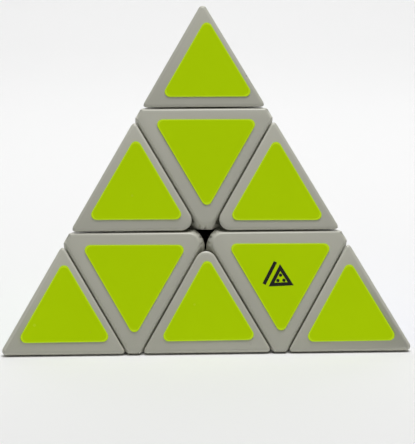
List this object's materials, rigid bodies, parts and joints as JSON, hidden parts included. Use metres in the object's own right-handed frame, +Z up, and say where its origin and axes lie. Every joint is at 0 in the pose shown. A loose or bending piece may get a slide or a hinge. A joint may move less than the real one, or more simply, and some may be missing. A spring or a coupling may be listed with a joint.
{
  "type": "pyramid twisty puzzle",
  "caption": "Tetrahedral twisty puzzle with corner layers that turn in thirds and small tips that turn on their own, in white plastic with coloured triangular stickers.",
  "frame": {"origin": "middle of the core, where the four turning axes cross", "axes": "+Z up along the axis of the top corner, -Y towards the front face, +X to the right of the front face"},
  "size_m": [0.0956, 0.0829, 0.0782],
  "materials": {
    "white_plastic": "satin moulded ABS, warm off-white",
    "inner_plastic": "plain moulded",
    "black_plastic": "plain moulded",
    "screw_steel": "zinc plated",
    "spring_steel": "drawn wire",
    "sticker_yellow": "fluorescent yellow-green vinyl",
    "sticker_green": "green vinyl",
    "sticker_blue": "blue vinyl",
    "sticker_red": "red vinyl"
  },
  "bodies": {
    "root": {"core": "black_plastic", "screws": "screw_steel", "washers": "screw_steel", "springs": "spring_steel"},
    "corner_top": {"axial_top": "white_plastic", "sticker_axial_top_right": "sticker_blue", "sticker_axial_top_left": "sticker_green", "sticker_axial_top_front": "sticker_yellow"},
    "corner_left": {"axial_left": "white_plastic", "sticker_axial_left_bottom": "sticker_red", "sticker_axial_left_left": "sticker_green", "sticker_axial_left_front": "sticker_yellow"},
    "corner_right": {"axial_right": "white_plastic", "sticker_axial_right_bottom": "sticker_red", "sticker_axial_right_right": "sticker_blue", "sticker_axial_right_front": "sticker_yellow"},
    "corner_back": {"axial_back": "white_plastic", "sticker_axial_back_bottom": "sticker_red", "sticker_axial_back_right": "sticker_blue", "sticker_axial_back_left": "sticker_green"},
    "tip_top": {"tip_base_top": "inner_plastic", "tip_cap_top": "white_plastic", "sticker_tip_top_right": "sticker_blue", "sticker_tip_top_left": "sticker_green", "sticker_tip_top_front": "sticker_yellow"},
    "tip_left": {"tip_base_left": "inner_plastic", "tip_cap_left": "white_plastic", "sticker_tip_left_bottom": "sticker_red", "sticker_tip_left_left": "sticker_green", "sticker_tip_left_front": "sticker_yellow"},
    "tip_right": {"tip_base_right": "inner_plastic", "tip_cap_right": "white_plastic", "sticker_tip_right_bottom": "sticker_red", "sticker_tip_right_right": "sticker_blue", "sticker_tip_right_front": "sticker_yellow"},
    "tip_back": {"tip_base_back": "inner_plastic", "tip_cap_back": "white_plastic", "sticker_tip_back_bottom": "sticker_red", "sticker_tip_back_right": "sticker_blue", "sticker_tip_back_left": "sticker_green"},
    "edge_top_left": {"edge_top_left": "white_plastic", "sticker_edge_top_left_left": "sticker_green", "sticker_edge_top_left_front": "sticker_yellow"},
    "edge_top_right": {"edge_top_right": "white_plastic", "sticker_edge_top_right_right": "sticker_blue", "sticker_edge_top_right_front": "sticker_yellow"},
    "edge_top_back": {"edge_top_back": "white_plastic", "sticker_edge_top_back_right": "sticker_blue", "sticker_edge_top_back_left": "sticker_green"},
    "edge_left_right": {"edge_left_right": "white_plastic", "sticker_edge_left_right_bottom": "sticker_red", "sticker_edge_left_right_front": "sticker_yellow"},
    "edge_right_back": {"edge_right_back": "white_plastic", "sticker_edge_right_back_bottom": "sticker_red", "sticker_edge_right_back_right": "sticker_blue"},
    "edge_left_back": {"edge_left_back": "white_plastic", "sticker_edge_left_back_bottom": "sticker_red", "sticker_edge_left_back_left": "sticker_green"}
  },
  "joints": [
    {"name": "turn_top", "type": "hinge", "parent": "root", "child": "corner_top", "pos_m": [0, 0, 0], "axis": [0, 0, 1], "range_deg": [-240, 120]},
    {"name": "turn_left", "type": "hinge", "parent": "root", "child": "corner_left", "pos_m": [0, 0, 0], "axis": [-0.8165, -0.4714, -0.3333], "range_deg": [-240, 120]},
    {"name": "turn_right", "type": "hinge", "parent": "root", "child": "corner_right", "pos_m": [0, 0, 0], "axis": [0.8165, -0.4714, -0.3333], "range_deg": [-240, 120]},
    {"name": "turn_back", "type": "hinge", "parent": "root", "child": "corner_back", "pos_m": [0, 0, 0], "axis": [0, 0.9428, -0.3333], "range_deg": [-240, 120]},
    {"name": "tip_turn_top", "type": "hinge", "parent": "corner_top", "child": "tip_top", "pos_m": [0, 0, 0], "axis": [0, 0, 1], "continuous": true},
    {"name": "tip_turn_left", "type": "hinge", "parent": "corner_left", "child": "tip_left", "pos_m": [0, 0, 0], "axis": [-0.8165, -0.4714, -0.3333], "continuous": true},
    {"name": "tip_turn_right", "type": "hinge", "parent": "corner_right", "child": "tip_right", "pos_m": [0, 0, 0], "axis": [0.8165, -0.4714, -0.3333], "continuous": true},
    {"name": "tip_turn_back", "type": "hinge", "parent": "corner_back", "child": "tip_back", "pos_m": [0, 0, 0], "axis": [0, 0.9428, -0.3333], "continuous": true},
    {"name": "edge_top_left_with_left", "type": "hinge", "parent": "corner_top", "child": "edge_top_left", "pos_m": [0, 0, 0], "axis": [-0.8165, -0.4714, -0.3333], "range_deg": [-240, 120]},
    {"name": "edge_top_right_with_right", "type": "hinge", "parent": "corner_top", "child": "edge_top_right", "pos_m": [0, 0, 0], "axis": [0.8165, -0.4714, -0.3333], "range_deg": [-240, 120]},
    {"name": "edge_top_back_with_back", "type": "hinge", "parent": "corner_top", "child": "edge_top_back", "pos_m": [0, 0, 0], "axis": [0, 0.9428, -0.3333], "range_deg": [-240, 120]},
    {"name": "edge_left_right_with_right", "type": "hinge", "parent": "corner_left", "child": "edge_left_right", "pos_m": [0, 0, 0], "axis": [0.8165, -0.4714, -0.3333], "range_deg": [-240, 120]},
    {"name": "edge_right_back_with_back", "type": "hinge", "parent": "corner_right", "child": "edge_right_back", "pos_m": [0, 0, 0], "axis": [0, 0.9428, -0.3333], "range_deg": [-240, 120]},
    {"name": "edge_left_back_with_left", "type": "hinge", "parent": "corner_back", "child": "edge_left_back", "pos_m": [0, 0, 0], "axis": [-0.8165, -0.4714, -0.3333], "range_deg": [-240, 120]}
  ],
  "couplings": [
    {"joint": "edge_top_left_with_left", "follows": "turn_left", "ratio": 1},
    {"joint": "edge_top_right_with_right", "follows": "turn_right", "ratio": 1},
    {"joint": "edge_top_back_with_back", "follows": "turn_back", "ratio": 1},
    {"joint": "edge_left_right_with_right", "follows": "turn_right", "ratio": 1},
    {"joint": "edge_right_back_with_back", "follows": "turn_back", "ratio": 1},
    {"joint": "edge_left_back_with_left", "follows": "turn_left", "ratio": 1}
  ]
}
